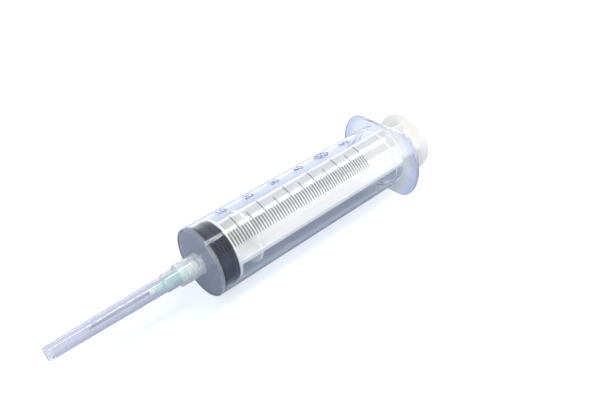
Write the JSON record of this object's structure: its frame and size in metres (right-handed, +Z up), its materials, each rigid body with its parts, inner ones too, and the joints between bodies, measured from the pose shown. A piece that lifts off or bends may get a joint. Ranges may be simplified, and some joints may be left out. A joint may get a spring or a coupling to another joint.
{
  "type": "luer lock syringe",
  "caption": "Large clear plastic syringe for injection or irrigation, with a lock collar, a capped hypodermic needle and the plunger pressed home.",
  "frame": {"origin": "under the middle of the syringe's length and width, on the surface that the flange's lower flat rests on", "axes": "+X along the syringe's axis from the needle to the thumb disc, +Z up from the surface it lies on, +Y away from the printed scale"},
  "size_m": [0.1984, 0.0488, 0.0352],
  "materials": {
    "barrel_plastic": "clear, slightly blue",
    "scale_ink": "matt black print",
    "stopper_rubber": "smooth moulded rubber",
    "rod_plastic": "satin white",
    "hub_plastic": "translucent green",
    "glue": "cured cream",
    "needle_steel": "drawn and polished",
    "sheath_plastic": "clear, slightly blue"
  },
  "bodies": {
    "barrel": {"barrel": "barrel_plastic", "scale_marks": "scale_ink", "scale_numbers": "scale_ink"},
    "stopper": {"stopper": "stopper_rubber"},
    "rod": {"plunger_rod": "rod_plastic"},
    "needle": {"needle_tube": "needle_steel", "hub_glue": "glue"},
    "hub": {"needle_hub": "hub_plastic"},
    "sheath": {"needle_sheath": "sheath_plastic"}
  },
  "joints": [
    {"name": "stopper_slide", "type": "slide", "parent": "barrel", "child": "stopper", "axis": [1, 0, 0], "range_m": [0, 0.0952]},
    {"name": "rod_spin", "type": "hinge", "parent": "stopper", "child": "rod", "pos_m": [-0.0207, 0, 0.0176], "axis": [1, 0, 0], "continuous": true},
    {"name": "needle_travel", "type": "slide", "parent": "barrel", "child": "needle", "axis": [-1, 0, 0], "range_m": [0, 0.005]},
    {"name": "hub_turn", "type": "hinge", "parent": "needle", "child": "hub", "pos_m": [-0.0407, 0, 0.0176], "axis": [-1, 0, 0], "range_deg": [0, 361]},
    {"name": "sheath_pull", "type": "slide", "parent": "hub", "child": "sheath", "axis": [-1, 0, 0], "range_m": [0, 0.05]}
  ],
  "couplings": [
    {"joint": "hub_turn", "follows": "needle_travel", "rad_per_m": 1256.6}
  ]
}
